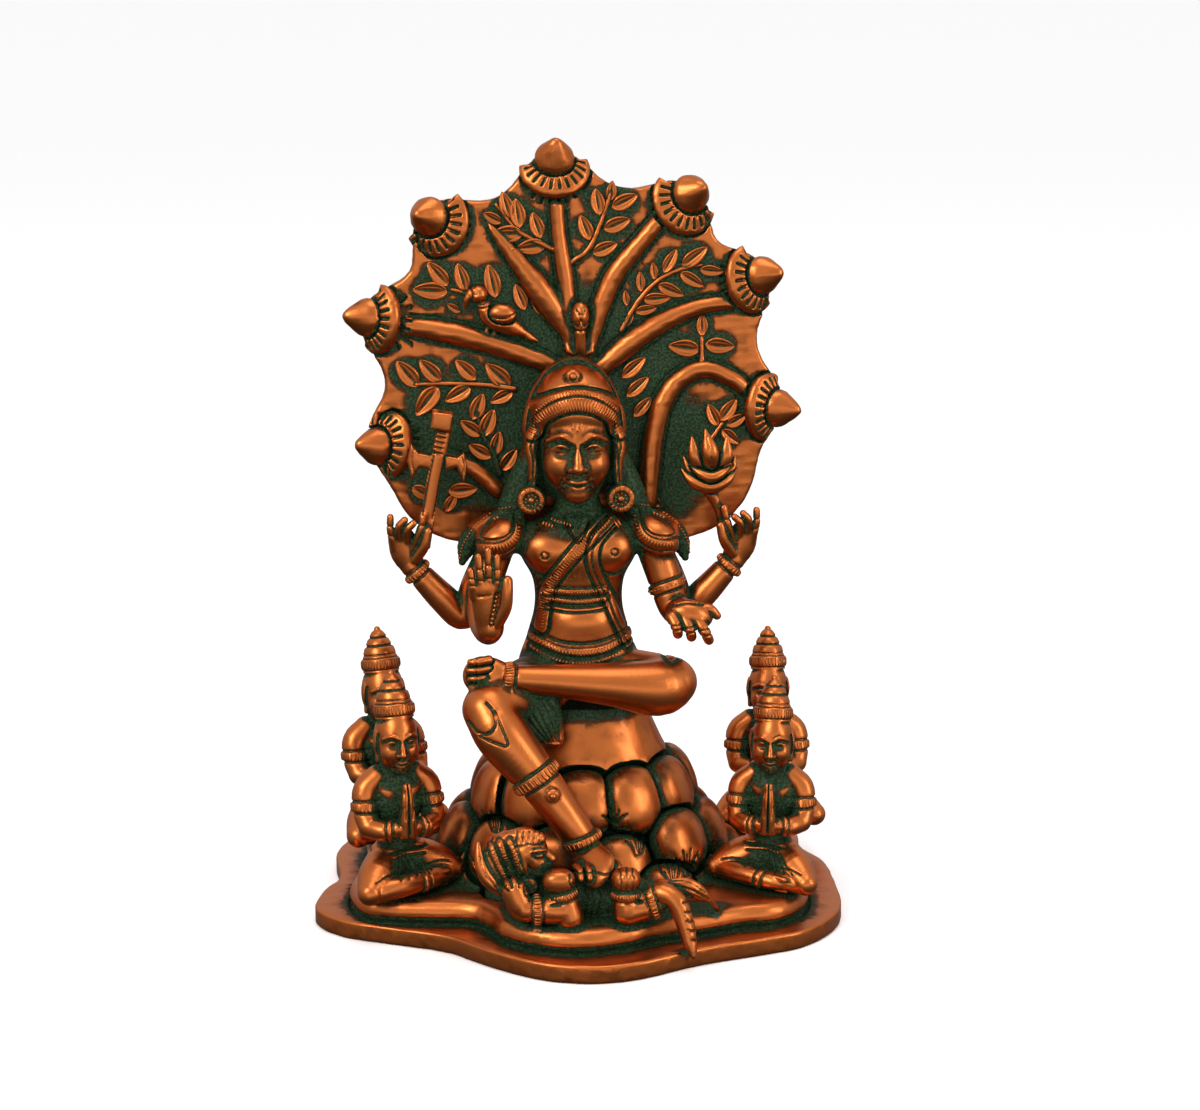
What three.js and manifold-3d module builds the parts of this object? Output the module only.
// A cast metal table statue: a four-armed teacher sits on a rock under a banyan tree, one foot on a dwarf,
// with four praying sages round him. Millimetres, +Z up, the front towards -Y,
// the origin under the plinth's middle.
import * as THREE from "three";
import { mergeVertices } from "three/addons/utils/BufferGeometryUtils.js";
import Module from "manifold-3d";

const wasm = await Module();
wasm.setup();

// Driving dimensions
const SAGE_HAT = { lean: 14, z: 75 };
const SAGE_KNEE = { reach: 24, spread: 66 }; // degrees from straight ahead
const GAP = 0.3; // between two castings that touch
const PLINTH = { rim: 8, terrace: 18 };
const ROCK = { x: 3.5, y: 4, top: 92, topRadius: 27, footRadius: 67, depthShare: 0.74 };
const TREE_FOOT = { y: 27, radius: 16 };
const PLATE = { x: 1, z: 232.4, radius: 80, front: 20, back: 26, join: 14 };
const BUD = { ring: 86, bulbRing: 88.5, skirt: 15, neck: 9, bulb: 8, skirtHeight: 4.2, length: 13.6,
  flat: 0.62 };
const SKIRT_SHOWN = 2.4; // how far a bud's skirt reaches past its middle, away from the plate
const BUD_SEAT = { ring: 79, radius: 14 };
const LEAF = { length: 11, width: 5.4, front: 17.4 };
const BOULDER = { depth: 9.8, lean: -20, sunk: 5 };
const SEAT = ROCK.top + GAP;
const SAGES = [
  { name: "sage_front_left", x: -77.8, y: -24.8, turn: 16, legs: 20, size: 1 },
  { name: "sage_front_right", x: 81.5, y: -31, turn: -14, legs: -20, size: 0.95 },
  { name: "sage_back_left", x: -83.5, y: 43, turn: 20, legs: 16, size: 1 },
  { name: "sage_back_right", x: 91, y: 42, turn: -4, legs: 4, size: 0.96 },
];

const FACES = { plinth: 2250, tree: 2700, figure: 3250, sage: 450 };
const COPPER = { color: new THREE.Color(0.55, 0.22, 0.08), roughness: 0.35, metalness: 0.9 };
const DEG = Math.PI / 180;

/** A closed three.js geometry as a solid, whichever way its faces were wound. */
function solidOf(geometry) {
  const plain = geometry.clone();
  for (const name of Object.keys(plain.attributes)) if (name !== "position") plain.deleteAttribute(name);
  const merged = mergeVertices(plain, 1e-4);
  const { array } = merged.attributes.position;
  const corner = (i) => new THREE.Vector3().fromArray(array, i * 3);
  const triangles = [];
  let volume = 0;
  for (let i = 0; i < merged.index.count; i += 3) {
    const [a, b, c] = [0, 1, 2].map((k) => merged.index.getX(i + k));
    if (a === b || b === c || c === a) continue;
    triangles.push([a, b, c]);
    volume += corner(a).dot(corner(b).cross(corner(c)));
  }
  const triVerts = new Uint32Array(triangles.flatMap((t) => (volume < 0 ? t.reverse() : t)));
  return new wasm.Manifold(new wasm.Mesh({ numProp: 3, vertProperties: array, triVerts }));
}

function joined(pieces) {
  return pieces.flat(Infinity).reduce((whole, piece) => whole.add(piece));
}

/** The error quadric of a face: how far a point lies from its plane, weighted by the face's area. */
function quadricOf(a, b, c) {
  const normal = b.clone().sub(a).cross(c.clone().sub(a));
  const area = normal.length() / 2;
  normal.normalize();
  const plane = [normal.x, normal.y, normal.z, -normal.dot(a)];
  return plane.flatMap((p, i) => plane.slice(i).map((q) => p * q * area));
}

function quadricError(q, { x, y, z }) {
  const [xx, xy, xz, xw, yy, yz, yw, zz, zw, ww] = q;
  const mixed = xy * x * y + xz * x * z + yz * y * z + xw * x + yw * y + zw * z;
  return xx * x * x + yy * y * y + zz * z * z + 2 * mixed + ww;
}

/** Draws the shortest and flattest edges of a closed mesh together until only `target` faces are left. */
function lightened(points, faces, target) {
  const around = points.map(() => new Set());
  faces.forEach((face, i) => face.forEach((v) => around[v].add(i)));
  const quadrics = points.map(() => new Array(10).fill(0));
  const addTo = (v, q) => (quadrics[v] = quadrics[v].map((value, k) => value + q[k]));
  for (const face of faces) {
    const q = quadricOf(...face.map((v) => points[v]));
    face.forEach((v) => addTo(v, q));
  }
  const normalAt = (face, moved, place) => {
    const [a, b, c] = face.map((v) => (moved.includes(v) ? place : points[v]));
    return b.clone().sub(a).cross(c.clone().sub(a));
  };
  const neighbours = (v) => new Set([...around[v]].flatMap((i) => faces[i]).filter((u) => u !== v));
  const bestPlace = (a, b) => {
    const q = quadrics[a].map((value, k) => value + quadrics[b][k]);
    const places = [points[a], points[b], points[a].clone().lerp(points[b], 0.5)];
    const stretch = 2e-3 * points[a].distanceToSquared(points[b]);
    const costs = places.map((place) => quadricError(q, place) + stretch);
    const cost = Math.min(...costs);
    return { a, b, q, cost, place: places[costs.indexOf(cost)].clone() };
  };
  const draw = ({ a, b, q, place }) => {
    const shared = [...neighbours(a)].filter((v) => neighbours(b).has(v));
    if (shared.length !== 2) return false;
    const kept = [...around[a], ...around[b]].filter((i) => !(faces[i].includes(a) && faces[i].includes(b)));
    for (const i of kept) {
      const [before, after] = [normalAt(faces[i], [], place), normalAt(faces[i], [a, b], place)];
      if (after.length() < 1e-3 || before.normalize().dot(after.normalize()) < 0.3) return false;
    }
    for (const i of [...around[b]]) {
      if (faces[i].includes(a)) {
        faces[i].forEach((v) => around[v].delete(i));
        faces[i] = null;
      } else {
        faces[i] = faces[i].map((v) => (v === b ? a : v));
        around[a].add(i);
      }
    }
    around[b].clear();
    points[a] = place;
    quadrics[a] = q;
    return true;
  };
  for (let left = faces.length, drawn = 1; drawn && left > target; ) {
    const edges = new Map();
    for (const face of faces) {
      if (!face) continue;
      face.forEach((v, k) => {
        const [a, b] = [Math.min(v, face[(k + 1) % 3]), Math.max(v, face[(k + 1) % 3])];
        if (!edges.has(`${a},${b}`)) edges.set(`${a},${b}`, bestPlace(a, b));
      });
    }
    const cheapest = [...edges.values()].sort((p, q) => p.cost - q.cost).slice(0, Math.ceil(edges.size / 6));
    const busy = new Set();
    drawn = 0;
    for (const edge of cheapest) {
      if (left <= target || busy.has(edge.a) || busy.has(edge.b) || !draw(edge)) continue;
      neighbours(edge.a).forEach((v) => busy.add(v));
      busy.add(edge.a);
      left -= 2;
      drawn += 1;
    }
  }
  return faces.filter(Boolean);
}

/** A solid as a named copper mesh with about `faceCount` faces. */
function meshOf(name, solid, faceCount) {
  const { numVert, numProp, vertProperties, triVerts } = solid.getMesh();
  const rows = [...Array(numVert).keys()];
  const points = rows.map((i) => new THREE.Vector3().fromArray(vertProperties, i * numProp));
  const faces = [...Array(triVerts.length / 3).keys()].map((i) => [...triVerts.subarray(i * 3, i * 3 + 3)]);
  const kept = lightened(points, faces, faceCount);
  const geometry = new THREE.BufferGeometry().setFromPoints(kept.flat().map((v) => points[v]));
  const mesh = new THREE.Mesh(mergeVertices(geometry, 1e-4), new THREE.MeshStandardMaterial(COPPER));
  mesh.name = name;
  return mesh;
}

/** A box between two corners, used to cut pieces flat. */
function block([x0, y0, z0], [x1, y1, z1]) {
  const box = new THREE.BoxGeometry(x1 - x0, y1 - y0, z1 - z0);
  return solidOf(box.translate((x0 + x1) / 2, (y0 + y1) / 2, (z0 + z1) / 2));
}

/** An ellipsoid, leaned about Y, tipped about X and turned about Z, in degrees. */
function ball(centre, radii, { sides = 6, rings = 4, lean = 0, tip = 0, turn = 0 } = {}) {
  const sphere = new THREE.SphereGeometry(1, sides, rings).rotateX(90 * DEG).scale(...radii);
  return solidOf(sphere.rotateY(lean * DEG).rotateX(tip * DEG).rotateZ(turn * DEG).translate(...centre));
}

/** An oval limb through stations [x, y, z, radius, depth], capped by domes `dome` times its radius high. */
function limb(stations, { sides = 6, dome = 0.6 } = {}) {
  const points = stations.map(([x, y, z]) => new THREE.Vector3(x, y, z));
  const last = points.length - 1;
  const run = points[last].clone().sub(points[0]).normalize();
  const depthwards = Math.abs(run.y) < 0.8 ? new THREE.Vector3(0, 1, 0) : new THREE.Vector3(0, 0, 1);
  const positions = [];
  const index = [];
  points.forEach((point, i) => {
    const along = points[Math.min(i + 1, last)].clone().sub(points[Math.max(i - 1, 0)]).normalize();
    const deep = depthwards.clone().addScaledVector(along, -depthwards.dot(along)).normalize();
    const wide = new THREE.Vector3().crossVectors(along, deep);
    const [radius, depth = radius] = stations[i].slice(3);
    for (let k = 0; k < sides; k++) {
      const angle = (2 * Math.PI * (k + 0.5)) / sides;
      const p = point.clone().addScaledVector(wide, radius * Math.cos(angle));
      positions.push(...p.addScaledVector(deep, depth * Math.sin(angle)).toArray());
      const [a, b] = [i * sides + k, i * sides + ((k + 1) % sides)];
      if (i < last) index.push(a, b, a + sides, b, b + sides, a + sides);
    }
  });
  for (const [end, inner] of [[0, 1], [last, last - 1]]) {
    const reach = points[end].clone().sub(points[inner]).setLength(dome * stations[end][3]);
    const pole = positions.length / 3;
    positions.push(...reach.add(points[end]).toArray());
    for (let k = 0; k < sides; k++) {
      const [a, b] = [end * sides + k, end * sides + ((k + 1) % sides)];
      index.push(...(end === 0 ? [b, a, pole] : [a, b, pole]));
    }
  }
  const geometry = new THREE.BufferGeometry().setIndex(index);
  return solidOf(geometry.setAttribute("position", new THREE.Float32BufferAttribute(positions, 3)));
}

/** An upright body of oval sections [z, middle y, half width, half depth] about a middle x. */
function column(x, sections, sides = 10) {
  return limb(sections.map(([z, y, wide, deep]) => [x, y, z, wide, deep]), { sides, dome: 0.05 });
}

/** A flat shape of [x, z] points, filled from one depth to another. */
function relief(points, front, back) {
  const shape = new THREE.Shape(points.map(([x, z]) => new THREE.Vector2(x, z)));
  const geometry = new THREE.ExtrudeGeometry(shape, { depth: back - front, bevelEnabled: false });
  return solidOf(geometry.rotateX(90 * DEG).translate(0, back, 0));
}

/** The same pieces on both sides of the figure's middle plane. */
function bothSides(make) {
  return [-1, 1].map(make);
}

// Plinth, rock and dwarf, cast as one

/** The rim's outline: soft lobes round an oval foot, front first, then to the right. */
const RIM_POINTS = [
  [0, -93], [19, -90.5], [45, -79], [72, -71], [90, -64.5], [104, -52], [112, -36], [114, -12],
  [113.5, 14], [106, 33],
  [107, 50], [97, 68], [72, 78], [50, 83], [26, 92], [0, 93], [-28, 91], [-50, 82], [-74, 78], [-96, 66],
  [-106, 44], [-104, 15], [-111, -2], [-113.5, -22], [-101, -37], [-78, -47.5], [-58, -57], [-40, -74],
  [-20, -88],
];
/** The terrace's outline, which runs out in front to carry the dwarf. */
const TERRACE_POINTS = [
  [-4, -80.5], [14, -77], [27, -71], [48, -65.5], [65, -60], [80, -57.5], [92.5, -47], [98, -29],
  [99, -8], [98.5, 12],
  [92, 30], [91, 46], [82, 58], [62, 66], [42, 71], [22, 79], [0, 80], [-24, 78], [-44, 70], [-64, 66],
  [-82, 56],
  [-91, 40], [-90, 14], [-96, -4], [-98, -20], [-92, -36], [-80, -41], [-65, -43.5], [-48, -46.5],
  [-40, -54.5],
  [-34.4, -66], [-21, -76],
];

function plinthLayer(outline, bottom, top) {
  const points = outline.map(([x, y]) => new THREE.Vector3(x, y, 0));
  const edge = new THREE.CatmullRomCurve3(points, true, "centripetal").getPoints(2 * points.length);
  const shape = new THREE.Shape(edge.slice(1).map((p) => new THREE.Vector2(p.x, p.y)));
  const geometry = new THREE.ExtrudeGeometry(shape, { depth: top - bottom, bevelEnabled: false });
  return solidOf(geometry.translate(0, 0, bottom));
}

/** How far the rock spreads at a height: a steep cap above, a wide foot below. */
function rockRadius(z) {
  const share = Math.max(0, ROCK.top - z) / (ROCK.top - PLINTH.terrace);
  return ROCK.topRadius + (ROCK.footRadius - ROCK.topRadius) * share ** 1.25;
}

/** The rock without its boulders, grown outwards by a margin. */
function rockCore(grown = 0) {
  const core = [12, 24, 40, 56, 68, 80, 89].map((z) => {
    const radius = rockRadius(z) + grown;
    return [z, ROCK.y, radius, radius * ROCK.depthShare];
  });
  const top = ROCK.topRadius - 1 + grown;
  return column(ROCK.x, [...core, [ROCK.top + grown, ROCK.y, top, top * ROCK.depthShare]], 14);
}

/** Boulders from the top row down; angles in degrees from the front, to the right. */
const BOULDER_ROWS = [
  { z: 52.5, angles: [-70, -36, -4, 28, 62, 98, 134, 170, 206, 248], wide: 14, tall: 16 },
  { z: 31, angles: [-84, -46, -15, 14, 47, 80, 114, 148, 182, 216, 250], wide: 14.5, tall: 15.5 },
  { z: 17, angles: [-30, -2, 30, 98, 131, 165, 199, 233, 267], wide: 15, tall: 12 },
];

function rock() {
  const foot = { y: TREE_FOOT.y, r: TREE_FOOT.radius };
  const treeSeat = [[12, foot.y + 8, foot.r * 2.2, foot.r * 1.5],
    [50, foot.y + 4, foot.r * 1.5, foot.r * 1.2]];
  treeSeat.push([80, foot.y, foot.r * 1.15, foot.r * 0.9], [ROCK.top, foot.y, foot.r, foot.r * 0.75]);
  const boulders = BOULDER_ROWS.flatMap(({ z, angles, wide, tall }) =>
    angles.map((angle) => {
      const around = (angle - 90) * DEG;
      const reach = rockRadius(z) - BOULDER.sunk;
      const forward = reach * ROCK.depthShare * Math.sin(around);
      const centre = [ROCK.x + reach * Math.cos(around), ROCK.y + forward, z];
      const shape = { sides: 8, rings: 5, lean: BOULDER.lean, turn: angle - 90 };
      return ball(centre, [BOULDER.depth, wide, tall], shape);
    }),
  );
  const whole = joined([rockCore(), column(ROCK.x, treeSeat, 8), boulders]);
  return whole.subtract(block([-120, -120, ROCK.top], [120, 120, ROCK.top + 40]));
}

/** The dwarf lies across the front under the raised foot, the head to the left, both fists up. */
function dwarf() {
  const body = limb([[-26, -56, 25, 8], [-6, -57, 24, 9.4], [14, -57, 23.6, 9], [28, -55, 20, 7]]);
  const head = [
    ball([-25, -61, 45.4], [9, 8.4, 9.6], { sides: 8, rings: 6 }),
    limb([[-27, -59, 51, 4.4], [-34.5, -60, 48.6, 6], [-38.4, -61.5, 43, 5.6], [-35, -62.5, 36, 5]]),
    limb([[-25, -57, 30, 7], [-25, -60, 40, 7.4]]),
    limb([[-32, -60, 51, 3.4], [-25, -61, 53.4, 4], [-19.4, -62, 51, 3]]),
    ball([-19.6, -64, 41.4], [4.6, 4.4, 4.6]),
    limb([[-19, -64, 47.6, 1.6], [-14.2, -65.4, 44.2, 1.8]], { sides: 4 }),
    ball([-24.4, -66.4, 33.6], [3.8, 3, 3.8]),
    limb([[-44.4, -62, 50, 1.2], [-44.4, -64, 43, 2.9], [-41, -66, 36, 3.4], [-35, -67, 30, 2.4]]),
  ];
  const arm = [
    limb([[-30.6, -70, 33, 5.4], [-28.4, -71, 27, 5.8], [-26.6, -71, 24, 5]]),
    limb([[-26, -72, 25, 5.4], [-14, -73, 25, 5.8], [-9, -73, 24, 6]]),
    limb([[-9, -73, 22, 6], [-10.6, -72, 31, 5]]),
    ball([-12.4, -71.5, 36.8], [6.4, 5.4, 5]),
  ];
  const leg = [
    limb([[15, -72, 31, 5.4], [15.6, -73, 23, 6]]),
    limb([[15.6, -73, 22, 5.6], [27, -74, 26, 5]]),
    ball([14.8, -73.4, 36.4], [6.6, 5.2, 4.8]),
    limb([[24, -73, 28, 4.8], [31, -74, 31, 4.8], [36, -77, 27, 4.4], [39, -80, 19, 3.6],
      [41.6, -84, 9, 1.6]]),
    limb([[30, -72, 33, 2.8], [41.5, -71, 31, 4, 2.6], [51, -69, 23.4, 1.4], [54, -66, 18, 1.6]]),
  ];
  return joined([body, head, arm, leg]);
}

function rockPlinth() {
  const terrace = plinthLayer(TERRACE_POINTS, PLINTH.rim - 1, PLINTH.terrace);
  const whole = joined([plinthLayer(RIM_POINTS, 0, PLINTH.rim), terrace, rock(), dwarf()]);
  return whole.subtract(block([-150, -150, -50], [150, 150, 0]));
}

// Banyan tree: a fan-shaped plate with branches, buds, leaves and a bird

const BUDS = [
  { at: 95, aims: 88, lean: 45 },
  { at: 56.5, aims: 38, lean: 32 },
  { at: 26.5, aims: 14, lean: 45 },
  { at: -11.5, aims: -3, lean: 55 },
  { at: 132, aims: 165, lean: 30 },
  { at: 164.5, aims: 172, lean: 62 },
  { at: 201, aims: 170, lean: 52 },
];

function onRing(angle, radius) {
  return [PLATE.x + radius * Math.cos(angle * DEG), PLATE.z + radius * Math.sin(angle * DEG)];
}

/** Signed distance to the plate's edge: a disc, two low lobes and the bud seats flow into one outline. */
function plateDistance(x, z) {
  const lobes = [[PLATE.x, PLATE.z, PLATE.radius], [47, 192, 34], [-45, 191, 33]];
  const circles = [...lobes, ...BUDS.map((bud) => [...onRing(bud.at, BUD_SEAT.ring), BUD_SEAT.radius])];
  const distances = circles.map(([cx, cz, r]) => Math.hypot(x - cx, z - cz) - r);
  return distances.reduce((a, b) => {
    const share = Math.max(PLATE.join - Math.abs(a - b), 0) / PLATE.join;
    return Math.min(a, b) - (share * share * PLATE.join) / 4;
  });
}

function plate(count = 90) {
  const edge = [...Array(count).keys()].map((i) => {
    const angle = (360 * i) / count;
    let [near, far] = [40, 130];
    while (far - near > 0.01) {
      const middle = (near + far) / 2;
      if (plateDistance(...onRing(angle, middle)) < 0) near = middle;
      else far = middle;
    }
    return onRing(angle, near);
  });
  return relief(edge, PLATE.front, PLATE.back);
}

/** A bud leaning out of the plate: a flared skirt on its inner side and a pointed bulb, both flattened. */
function bud({ at, aims, lean }) {
  const skirt = [[0, -4], [BUD.skirt * 0.9, -4], [BUD.skirt, 0], [BUD.neck, BUD.skirtHeight],
    [0, BUD.skirtHeight]];
  const bulb = [[0, 0], [BUD.bulb, 1], [BUD.bulb, 4], [BUD.bulb * 0.55, BUD.length * 0.72], [0, BUD.length]];
  const outward = new THREE.Vector3(Math.cos(aims * DEG), 0, Math.sin(aims * DEG));
  const axis = outward.multiplyScalar(Math.sin(lean * DEG));
  axis.y = -Math.cos(lean * DEG);
  const turn = new THREE.Quaternion().setFromUnitVectors(new THREE.Vector3(0, 1, 0), axis.normalize());
  const [skirtSolid, bulbSolid] = [[skirt, BUD.ring], [bulb, BUD.bulbRing]].map(([profile, ring]) => {
    const [x, z] = onRing(at, ring);
    const turned = new THREE.LatheGeometry(profile.map(([r, h]) => new THREE.Vector2(r, h)), 14);
    return solidOf(turned.applyQuaternion(turn).scale(1, BUD.flat, 1).translate(x, PLATE.front + 1, z));
  });
  const reach = 3 * BUD.skirt;
  const outside = new THREE.BoxGeometry(reach, reach, reach).translate(reach / 2, 0, 0).rotateY(-at * DEG);
  const [x, z] = onRing(at, BUD.ring + SKIRT_SHOWN);
  return [skirtSolid.subtract(solidOf(outside.translate(x, PLATE.front, z))), bulbSolid];
}

/** Branches as [x, z, half width] stations, each fading into the plate. */
const BRANCHES = [
  [[1, 236, 4.5], [-0.7, 250.5, 4.1], [-2.3, 271.8, 3.8], [-4.8, 288.6, 3.4], [-5.9, 302.5, 3.2]],
  [[5.7, 236, 4], [9.5, 250.4, 4.2], [17.6, 271.6, 4.3], [29, 286.2, 3.9], [38.6, 297.4, 3.5]],
  [[8, 231, 4], [14.2, 234.9, 4.6], [24.9, 243.8, 5], [39.8, 253.4, 4.4], [54.8, 259.2, 3.6],
    [70.5, 261.2, 3]],
  [[32.4, 176, 5], [34.2, 192, 4.9], [35.6, 204, 4.8], [39.2, 217.7, 4.6], [46.5, 228, 4.2],
    [57.6, 232.4, 3.9],
    [70.2, 227.4, 3.7], [79, 219.5, 3.4]],
  [[1.5, 246, 4], [-2.8, 251.4, 4.4], [-11.2, 264.3, 6], [-20.7, 277, 4.4], [-31.2, 290.6, 2.4],
    [-34, 295, 1.2]],
  [[-4, 231, 4], [-10.1, 235.7, 4.2], [-19.8, 239.6, 4.4], [-34.6, 245, 4.8], [-51.4, 249.6, 4.9],
    [-69, 252.6, 4]],
  [[-58, 197, 3], [-45.5, 192.4, 3.6], [-38.7, 188, 4], [-31.8, 181.2, 3.9]],
];

function branch(stations) {
  const path = stations.map(([x, z, half]) => [x, PLATE.front, z, half, half * 0.95]);
  return limb(path, { sides: 8, dome: 0.3 });
}

/** A pointed leaf lying on the plate, its middle at [x, z] and its tip turned `aims` degrees. */
function leaf([x, z], aims, length = LEAF.length) {
  const half = length / 2;
  const width = (LEAF.width * length) / LEAF.length / 2;
  const outline = [[-half, 0], [-half * 0.3, -width], [half * 0.35, -width * 0.8], [half, 0]];
  outline.push([half * 0.35, width * 0.8], [-half * 0.3, width]);
  const [c, s] = [Math.cos(aims * DEG), Math.sin(aims * DEG)];
  return relief(outline.map(([u, v]) => [x + u * c - v * s, z + u * s + v * c]), LEAF.front, PLATE.front + 1);
}

/** A twig between two points with paired leaves along it and one at its tip. */
function spray({ from, to, bow = 0, left, right, length = LEAF.length }) {
  const [dx, dz] = [to[0] - from[0], to[1] - from[1]];
  const reach = Math.hypot(dx, dz);
  const aim = Math.atan2(dz, dx) / DEG;
  const at = (share) => {
    const sag = 4 * bow * share * (1 - share);
    return [from[0] + dx * share - (dz / reach) * sag, from[1] + dz * share + (dx / reach) * sag];
  };
  const twig = limb([0, 0.5, 1].map((s) => [at(s)[0], PLATE.front, at(s)[1], 1.1, 2]), { sides: 4, dome: 0 });
  const leaves = [[left, 1], [right, -1]].flatMap(([count, side]) =>
    [...Array(count).keys()].map((i) => {
      const [x, z] = at((i + 0.6 + side * 0.12) / Math.max(left, right));
      const tilt = (aim + side * 42) * DEG;
      const reach = 0.6 * length;
      return leaf([x + reach * Math.cos(tilt), z + reach * Math.sin(tilt)], aim + side * 42, length);
    }),
  );
  return [twig, leaves];
}

const SPRAYS = [
  { from: [-5, 283], to: [-31, 303], bow: -2, left: 2, right: 3, length: 11 },
  { from: [0, 279], to: [17, 308], bow: -2, left: 3, right: 3, length: 11 },
  { from: [21, 250], to: [55, 277], bow: 5, left: 5, right: 4, length: 10 },
  { from: [-24, 225], to: [-66, 227.5], bow: -2, left: 3, right: 4, length: 12.5 },
  { from: [-30, 188], to: [-40.4, 215], left: 3, right: 3, length: 11 },
];
const LOOSE_LEAVES = [
  { at: [-56.3, 274.6], aims: 130 }, { at: [-59.5, 267.5], aims: 176 }, { at: [-46.2, 273], aims: 106 },
  { at: [-33.4, 271.4], aims: 102 }, { at: [-21.6, 264.5], aims: 111 }, { at: [-12.8, 260.4], aims: 133 },
  { at: [48.4, 241.8], aims: 172 }, { at: [63.9, 242.5], aims: -5 }, { at: [56, 251.5], aims: 90 },
  { at: [26.9, 233.6], aims: 41 }, { at: [28.7, 225.2], aims: 42 }, { at: [30.9, 216.5], aims: 48 },
  { at: [61.2, 212.5], aims: 114 }, { at: [68.1, 214.6], aims: 54 }, { at: [71.7, 210], aims: 29 },
  { at: [69, 202.7], aims: -40 }, { at: [-52, 176], aims: 62 }, { at: [-64, 180.2], aims: -32 },
  { at: [-46.8, 181.2], aims: 5 }, { at: [33.6, 176.6], aims: -39 },
];

function bird() {
  const y = PLATE.front - 2.6;
  return [
    limb([[-37.4, y, 261.5, 3.2], [-34, y, 256.6, 4.6, 3.8], [-28, y, 253.4, 4.6, 3.6],
      [-20.5, y + 1, 249.5, 2]]),
    ball([-29.2, y - 2.2, 257.8], [6, 3, 4.2], { lean: 8 }),
    ball([-39.4, y - 0.6, 266], [4.1, 3.6, 4.1]),
    limb([[-42, y - 0.6, 266.6, 2], [-44.4, y - 0.6, 263.6, 1.5], [-45, y, 259.8, 0.7]], { sides: 5 }),
    limb([[-22, y + 1, 250.5, 1.8], [-14.4, y + 1.6, 245.6, 1.2]], { sides: 5 }),
    limb([[-35.4, y + 1, 251.6, 1.3], [-37.4, y + 0.8, 246.4, 1]], { sides: 4 }),
    limb([[-31.6, y + 1, 251.6, 1.3], [-33.8, y + 0.8, 246.4, 1]], { sides: 4 }),
  ];
}

/** The serpent rearing in front of the place where the branches part. */
function serpent() {
  return [
    limb([[4.2, 19, 236, 3.8], [3.7, 16, 242, 3], [3.5, 14.4, 249, 2.6], [3.5, 14, 252, 2.8]]),
    ball([3.6, 14.4, 256.2], [4, 4, 6.6]),
    bothSides((side) => limb([[3.5 + side * 5.2, 18, 245.5, 1.8],
      [3.5 + side * 2, 16, 240.4, 1.6]], { sides: 4 })),
  ];
}

function trunk() {
  const { y } = TREE_FOOT;
  const sections = [[SEAT - 3, y, 15, 9], [100, y, 12.5, 6], [125, y - 1, 11.5, 5], [165, y - 2, 13, 5]];
  return column(2, [...sections, [195, y - 3, 18, 4], [225, y - 4, 16, 3.5], [250, y - 4, 7, 3]], 10);
}

function banyanTree() {
  const parts = [plate(), trunk(), BRANCHES.map(branch), SPRAYS.map(spray), bird(), serpent()];
  const leaves = LOOSE_LEAVES.map(({ at, aims }) => leaf(at, aims, LEAF.length * 0.9));
  const buds = joined(BUDS.map(bud)).subtract(block([-150, PLATE.back, 150], [150, 80, 350]));
  return joined([...parts, leaves, buds]).subtract(block([-60, -20, 60], [60, 80, SEAT]));
}

// The teacher: torso, head, four arms and two legs

function torso() {
  const sections = [
    [93, 0, 25, 15], [108, -1.5, 26.5, 16], [121, 0, 22.5, 13.5], [134, 1, 19, 11], [146, 1, 19.6, 11],
    [156, 1, 24.5, 12.3], [165, 1.5, 27, 11.5], [174, 2, 14, 9], [180, 1.5, 9.2, 9], [188, 2, 9, 8.5],
  ];
  return [
    column(1.5, sections, 12),
    column(1.5, [[137, 1, 19.6, 12], [144, 1, 20.2, 12.2]], 12),
    column(1.5, [[113, -1.5, 26.6, 16.6], [119, -1, 24.2, 15.4]], 12),
    ball([2, -2.6, 129], [14, 11, 9], { sides: 8, rings: 5 }),
    bothSides((side) => ball([side * 11.5 + 1, -4.6, 159.5], [12.5, 8.4, 10], { sides: 8, rings: 5 })),
  ];
}

function head() {
  return [
    ball([0, -2, 204], [15.2, 15.5, 23], { sides: 10, rings: 7 }),
    ball([0, 0, 222], [17, 15.5, 19], { sides: 10, rings: 6 }),
    column(0, [[218.5, -1, 18, 17], [230, -0.5, 16.6, 15.6]], 12),
    ball([0, 6, 209], [21.5, 10, 32], { sides: 10, rings: 7 }),
    ball([-1.5, -11, 234.5], [3, 3, 3], { sides: 5, rings: 3 }),
    limb([[0, -15, 212, 1.6], [0, -19, 203, 2.6]]),
    bothSides((side) => [
      limb([[side * 17, -1, 209, 2.4, 3.4], [side * 18.5, -2, 198, 2.2, 3], [side * 18.5, -2, 184, 2, 2.6]]),
      limb([[side * 18.8, -6, 182, 5.6], [side * 18.8, 3, 182, 5.6]], { sides: 8, dome: 0.1 }),
      limb([[side * 17, 7, 196, 7], [side * 25, 6, 178, 6], [side * 30, 6, 166, 5]]),
    ]),
  ];
}

/** Shoulder ornaments: a fringed half oval in front with a pointed wing behind it. */
function shoulders() {
  const wing = [[28, 3, 172, 4, 6], [38, 4, 168.5, 5, 5.5], [45, 5, 161.5, 4.6], [48, 5, 153, 1.6, 2.4]];
  return bothSides((side) => [
    ball([side * 31 + 1, 2, 165], [13.5, 10, 8]),
    ball([side * 33.5 + 1, -2, 164.5], [11, 11, 8.5], { lean: side * 32 }),
    limb(wing.map(([x, ...rest]) => [side * x, ...rest])),
  ]);
}

/** A fan of fingers, each from a knuckle to a tip given as [x, y, z]. */
function fingers(pairs, radius) {
  return pairs.map(([knuckle, tip]) => limb([[...knuckle, radius], [...tip, radius * 0.75]], { sides: 5 }));
}

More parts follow.
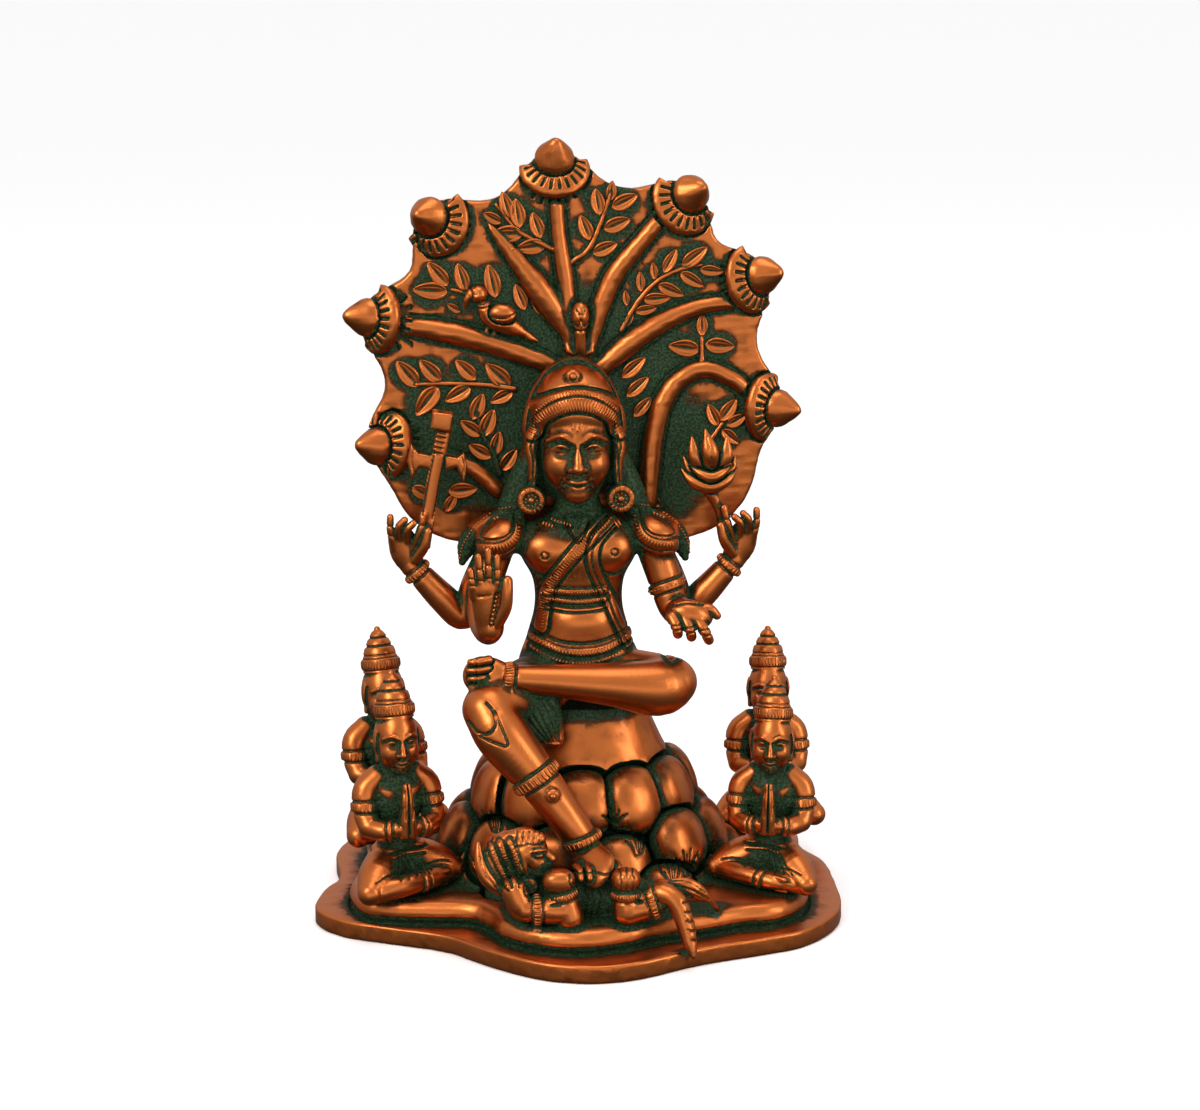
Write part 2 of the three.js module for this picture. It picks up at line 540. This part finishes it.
function blessingArm() {
  return [
    limb([[-33, 0, 162, 7.5], [-38, -3, 146, 7], [-40, -9, 133, 6.5]]),
    limb([[-40, -9, 132, 6.5], [-38, -18, 129, 6], [-37.5, -25, 131, 5]]),
    limb([[-37.5, -26, 130, 6], [-38, -26, 138, 6.6, 4], [-38.5, -27, 148, 7, 3.6]]),
    fingers([-6, -2, 2, 6].map((x) => [[-38.4 + x * 0.8, -27, 147],
      [-38 + x * 0.8, -29, 164 - Math.abs(x - 1)]]), 2.2),
    fingers([[[-33, -27, 141], [-29.5, -28, 154]]], 2.3),
  ];
}

/** A rear arm raised beside the body, its hand closed on what it holds, on side -1 or +1. */
function raisedArm(side) {
  const out = (x, y, z, ...r) => [side * x, y, z, ...r];
  const knuckles = [74.5, 72.5, 70.5].map((x, i) => [out(x, 3 + i, 163), out(x + 3.5 - 2 * i, 2, 173.5 - i)]);
  return [
    limb([out(32, 4, 162, 7.5), out(41, 6, 144, 7), out(47, 6, 130, 6.5)]),
    limb([out(46.5, 6, 130, 6.8), out(56, 6, 137, 6.6), out(69, 6, 151, 5)]),
    limb([out(66, 6, 147.5, 6.4), out(68.2, 6, 150, 6.4)], { dome: 0.05 }),
    limb([out(69.5, 5, 152, 5.4, 4), out(72, 5, 163, 6.4, 3.4)]),
    fingers(knuckles, 1.9),
    fingers([[out(67, 3, 157), out(66, 4, 171)]], 2.6),
  ];
}

function restingArm() {
  return [
    limb([[33, 0, 162, 7.8], [37.6, -2, 148, 7.4], [41.5, -6, 134.5, 6.5]]),
    limb([[38.6, -3, 141.5, 7.6], [37.9, -2.5, 145, 7.6]], { dome: 0.05 }),
    limb([[41.5, -6, 134.5, 6.8], [45, -13, 133, 6.4], [47, -18, 132, 6]]),
    ball([45.5, -21, 134], [8.6, 5.5, 7.4], { lean: 28 }),
    fingers([0, 1, 2].map((i) => [[43 + 4 * i, -24, 132 - i], [45.6 + 4 * i, -26, 124.4 + 0.4 * i]]), 2.3),
    fingers([[[51, -20, 137], [57.4, -21, 132.4]]], 2.5),
  ];
}

/** The axe held up in the rear right hand: a capped shaft with a crescent blade on each side. */
function axe() {
  const y = 3;
  const shaft = [[-66.9, 160], [-62.6, 190], [-57.6, 213], [-51.6, 211.8], [-57, 189], [-61.6, 160]];
  const cap = [[-60.6, 212], [-59.4, 219.4], [-51, 218], [-52.2, 210.4]];
  const blades = [
    [[-68.8, 205.4], [-65.6, 201.4], [-60, 200.4], [-60, 194.2], [-65.4, 195.4], [-68.9, 190.6],
      [-70.6, 198]],
    [[-46.6, 201.4], [-49.8, 199.2], [-55, 200.4], [-55, 194], [-50, 195.2], [-46.8, 187.6], [-45.4, 195]],
  ];
  const parts = [[shaft, 3], [cap, 4], ...blades.map((blade) => [blade, 2.6])];
  return parts.map(([outline, half]) => relief(outline, y - half, y + half));
}

function lotus() {
  const y = 3;
  const [middle, base] = [58.6, 194];
  const cup = [[-11.6, 0, 0], [-7.6, -2, -4], [0, -3.4, -6.6], [7.6, -2, -4],
    [12.4, 0, 0]].map(([x, depth, z]) => {
    return [middle + x, y + depth, base + z, 3.4 - 0.2 * Math.abs(x), 3];
  });
  const petals = [[-12, 8.4], [-8.2, 12.6], [-3, 16], [5.2, 12.8], [11.4, 8.4]].map(([x, z]) => {
    const belly = [middle + x / 2 + Math.sign(x) * 1.4, y - 2, base + z / 2, 3.2, 2.2];
    return limb([[middle + x / 4, y - 1, base, 2.4], belly, [middle + x, y - 1, base + z, 0.8]], { sides: 4 });
  });
  return [
    limb([[66, y, 163, 3], [63.4, y, 174, 2.4], [60, y, 184, 3.2]]),
    ball([59, y + 1, 190], [9.4, 5, 6]),
    limb(cup),
    petals,
  ];
}

/** The leg laid across the lap, its foot at the left, and the leg that hangs to the dwarf's back. */
function legs() {
  const toes = [0, 1, 2, 3, 4].map((i) => {
    const z = 103 + 4.15 * i;
    return [[-39, -29, z], [-46.6 + 0.5 * Math.abs(i - 3), -30.4, z - 0.4]];
  });
  const crossed = [
    limb([[12, -4, 103, 14, 13], [28, -12, 103.5, 12.6, 12], [38, -18, 104, 11.6, 11]]),
    limb([[46.4, -20, 106, 6.4], [40.6, -21, 105, 10], [33, -24, 103.4, 12.6, 11.4], [14, -27, 106.4, 9.6],
      [-10, -28, 109, 7.4], [-28, -28, 110.5, 6.2]], { sides: 8 }),
    limb([[-28.6, -28, 110.4, 7.8], [-32.4, -28, 110.9, 7.8]], { dome: 0.05 }),
    limb([[-33, -27, 110.8, 7.6, 6.2], [-38, -27, 111.4, 9.6, 5.2], [-41, -27, 111.6, 9.8, 4.4]]),
    fingers(toes, 2.3),
  ];
  const footToes = [-4.2, -0.4, 3.3, 7.2, 11.6].map((x, i) => [[x, -61, 38.6],
    [x + 1, -68.4 + 0.3 * i, 36.8]]);
  const hanging = [
    limb([[-10, -4, 103, 14, 13], [-28, -20, 101, 12.5], [-38, -31, 98, 11.5]]),
    limb([[-40, -33, 99, 9.8], [-33.5, -38, 89, 11.8], [-20, -43, 72, 9.6], [-8, -48, 56, 8.2],
      [-1, -50, 46, 7]], {
      sides: 8,
    }),
    limb([[-21.4, -42.7, 74.2, 10.8], [-17.8, -43.9, 69.4, 10.4]], { dome: 0.05 }),
    ball([-13.6, -52.4, 67], [3.4, 3, 3.6], { sides: 5, rings: 3 }),
    limb([[-1.7, -49.6, 47.6, 8.2], [-0.6, -50, 44.8, 8.2]], { dome: 0.05 }),
    limb([[0, -49, 42, 6.8, 5.6], [2, -56, 40, 7.8, 5], [4, -63, 38, 9.2, 3.4]]),
    fingers(footToes, 2.2),
  ];
  const cloth = limb([[-22, -22, 104, 11, 6], [-17, -25, 92, 9.6, 4.6], [-11, -26, 83, 4, 3]], { sides: 8 });
  return [crossed, hanging, cloth];
}

/** The whole figure, cut where it sits on the rock. */
function seatedFigure() {
  const raised = bothSides(raisedArm);
  const arms = [blessingArm(), raised, restingArm(), axe(), lotus()];
  const body = joined([torso(), head(), shoulders(), arms, legs()]);
  return body.subtract(block([-60, -14, 60], [60, 60, SEAT])).subtract(rockCore(2 * GAP));
}

// Sages

/** A sage seated at the origin, hands held together, the crossed legs turned a little against the body. */
function sage(legTurn) {
  const spread = SAGE_KNEE.spread * DEG;
  const knee = [SAGE_KNEE.reach * Math.sin(spread), -SAGE_KNEE.reach * Math.cos(spread)];
  const legs = joined([
    limb([[-knee[0], knee[1], 5, 4.8], [-8, -13, 6, 5], [6, -13.8, 5.4, 4.2], [13, -12.6, 5, 3.2]]),
    limb([[knee[0], knee[1], 4.6, 4.6], [8, -12.4, 5.4, 4.6], [-6, -12.6, 5.6, 3.8]]),
    bothSides((side) => limb([[side * 5, 1, 12, 9], [side * 14, -4.4, 9, 8.4],
      [side * knee[0], knee[1], 5.4, 5.6]])),
  ]).rotate([0, 0, legTurn]);
  const body = [[-2, 2, 15, 12], [8, 2, 12, 10.5], [14, 2, 9.6, 8.4], [20, 2, 8, 7.2], [28, 1.6, 8.8, 7]];
  body.push([37, 1.2, 11.5, 8], [45, 1.5, 12, 7.8], [51, 2, 7.6, 6.2], [57, 1.5, 5.8, 6]);
  const hat = [[0, 0], [8.2, 0], [8.6, 1.6], [8.4, 6.6], [7.2, 8], [6.6, 11], [5.2, 12], [5.6, 13.2],
    [4.4, 15]];
  hat.push([3.4, 15.8], [1.5, 18.6], [1, 20], [0, 20.4]);
  const hatGeometry = new THREE.LatheGeometry(hat.map(([r, z]) => new THREE.Vector2(r, z)), 10);
  hatGeometry.rotateX((90 - SAGE_HAT.lean) * DEG).translate(0, 1, SAGE_HAT.z);
  return joined([
    legs,
    column(0, body, 8),
    ball([0, -0.5, 65.6], [8.8, 9.2, 13.4], { sides: 8, rings: 6 }),
    solidOf(hatGeometry),
    limb([[0, -8.4, 68, 1.2], [0, -10.4, 62, 1.7]], { sides: 4 }),
    limb([[0, -13.6, 28, 4.6, 3.6], [0, -14.6, 37, 3.8, 3.4], [0, -15.4, 45, 2.8, 2.6],
      [0, -15, 50, 1.8, 1.4]]),
    bothSides((side) => [
      limb([[side * 8.4, -0.6, 69, 1.6], [side * 9, -1.2, 65, 1.6],
        [side * 8.2, -1.4, 57, 1.3]], { sides: 4 }),
      limb([[side * 8, 1.6, 49.5, 5.2], [side * 13.4, 1.2, 44.5, 5.8], [side * 14.6, -1, 37, 5.4],
        [side * 14, -5, 30.4, 4.8]]),
      limb([[side * 14.6, -0.4, 40.6, 5.9], [side * 14.6, -1.6, 36.4, 5.9]], { dome: 0.05 }),
      limb([[side * 13.8, -5.2, 29.8, 4.8], [side * 9, -11, 29.6, 4.5], [side * 3, -14, 31.4, 3.6]]),
    ]),
  ]).subtract(block([-40, -40, -20], [40, 40, 0]));
}

function placedSages() {
  return SAGES.map(({ name, x, y, turn, legs, size }) => {
    const mesh = meshOf(name, sage(legs), FACES.sage);
    mesh.position.set(x, y, PLINTH.terrace + GAP);
    mesh.rotation.z = turn * DEG;
    mesh.scale.setScalar(size);
    return mesh;
  });
}

const statue = new THREE.Group();
statue.add(meshOf("rock_plinth", rockPlinth(), FACES.plinth));
statue.add(meshOf("banyan_tree", banyanTree(), FACES.tree));
statue.add(meshOf("seated_figure", seatedFigure(), FACES.figure));
statue.add(...placedSages());

export default statue;
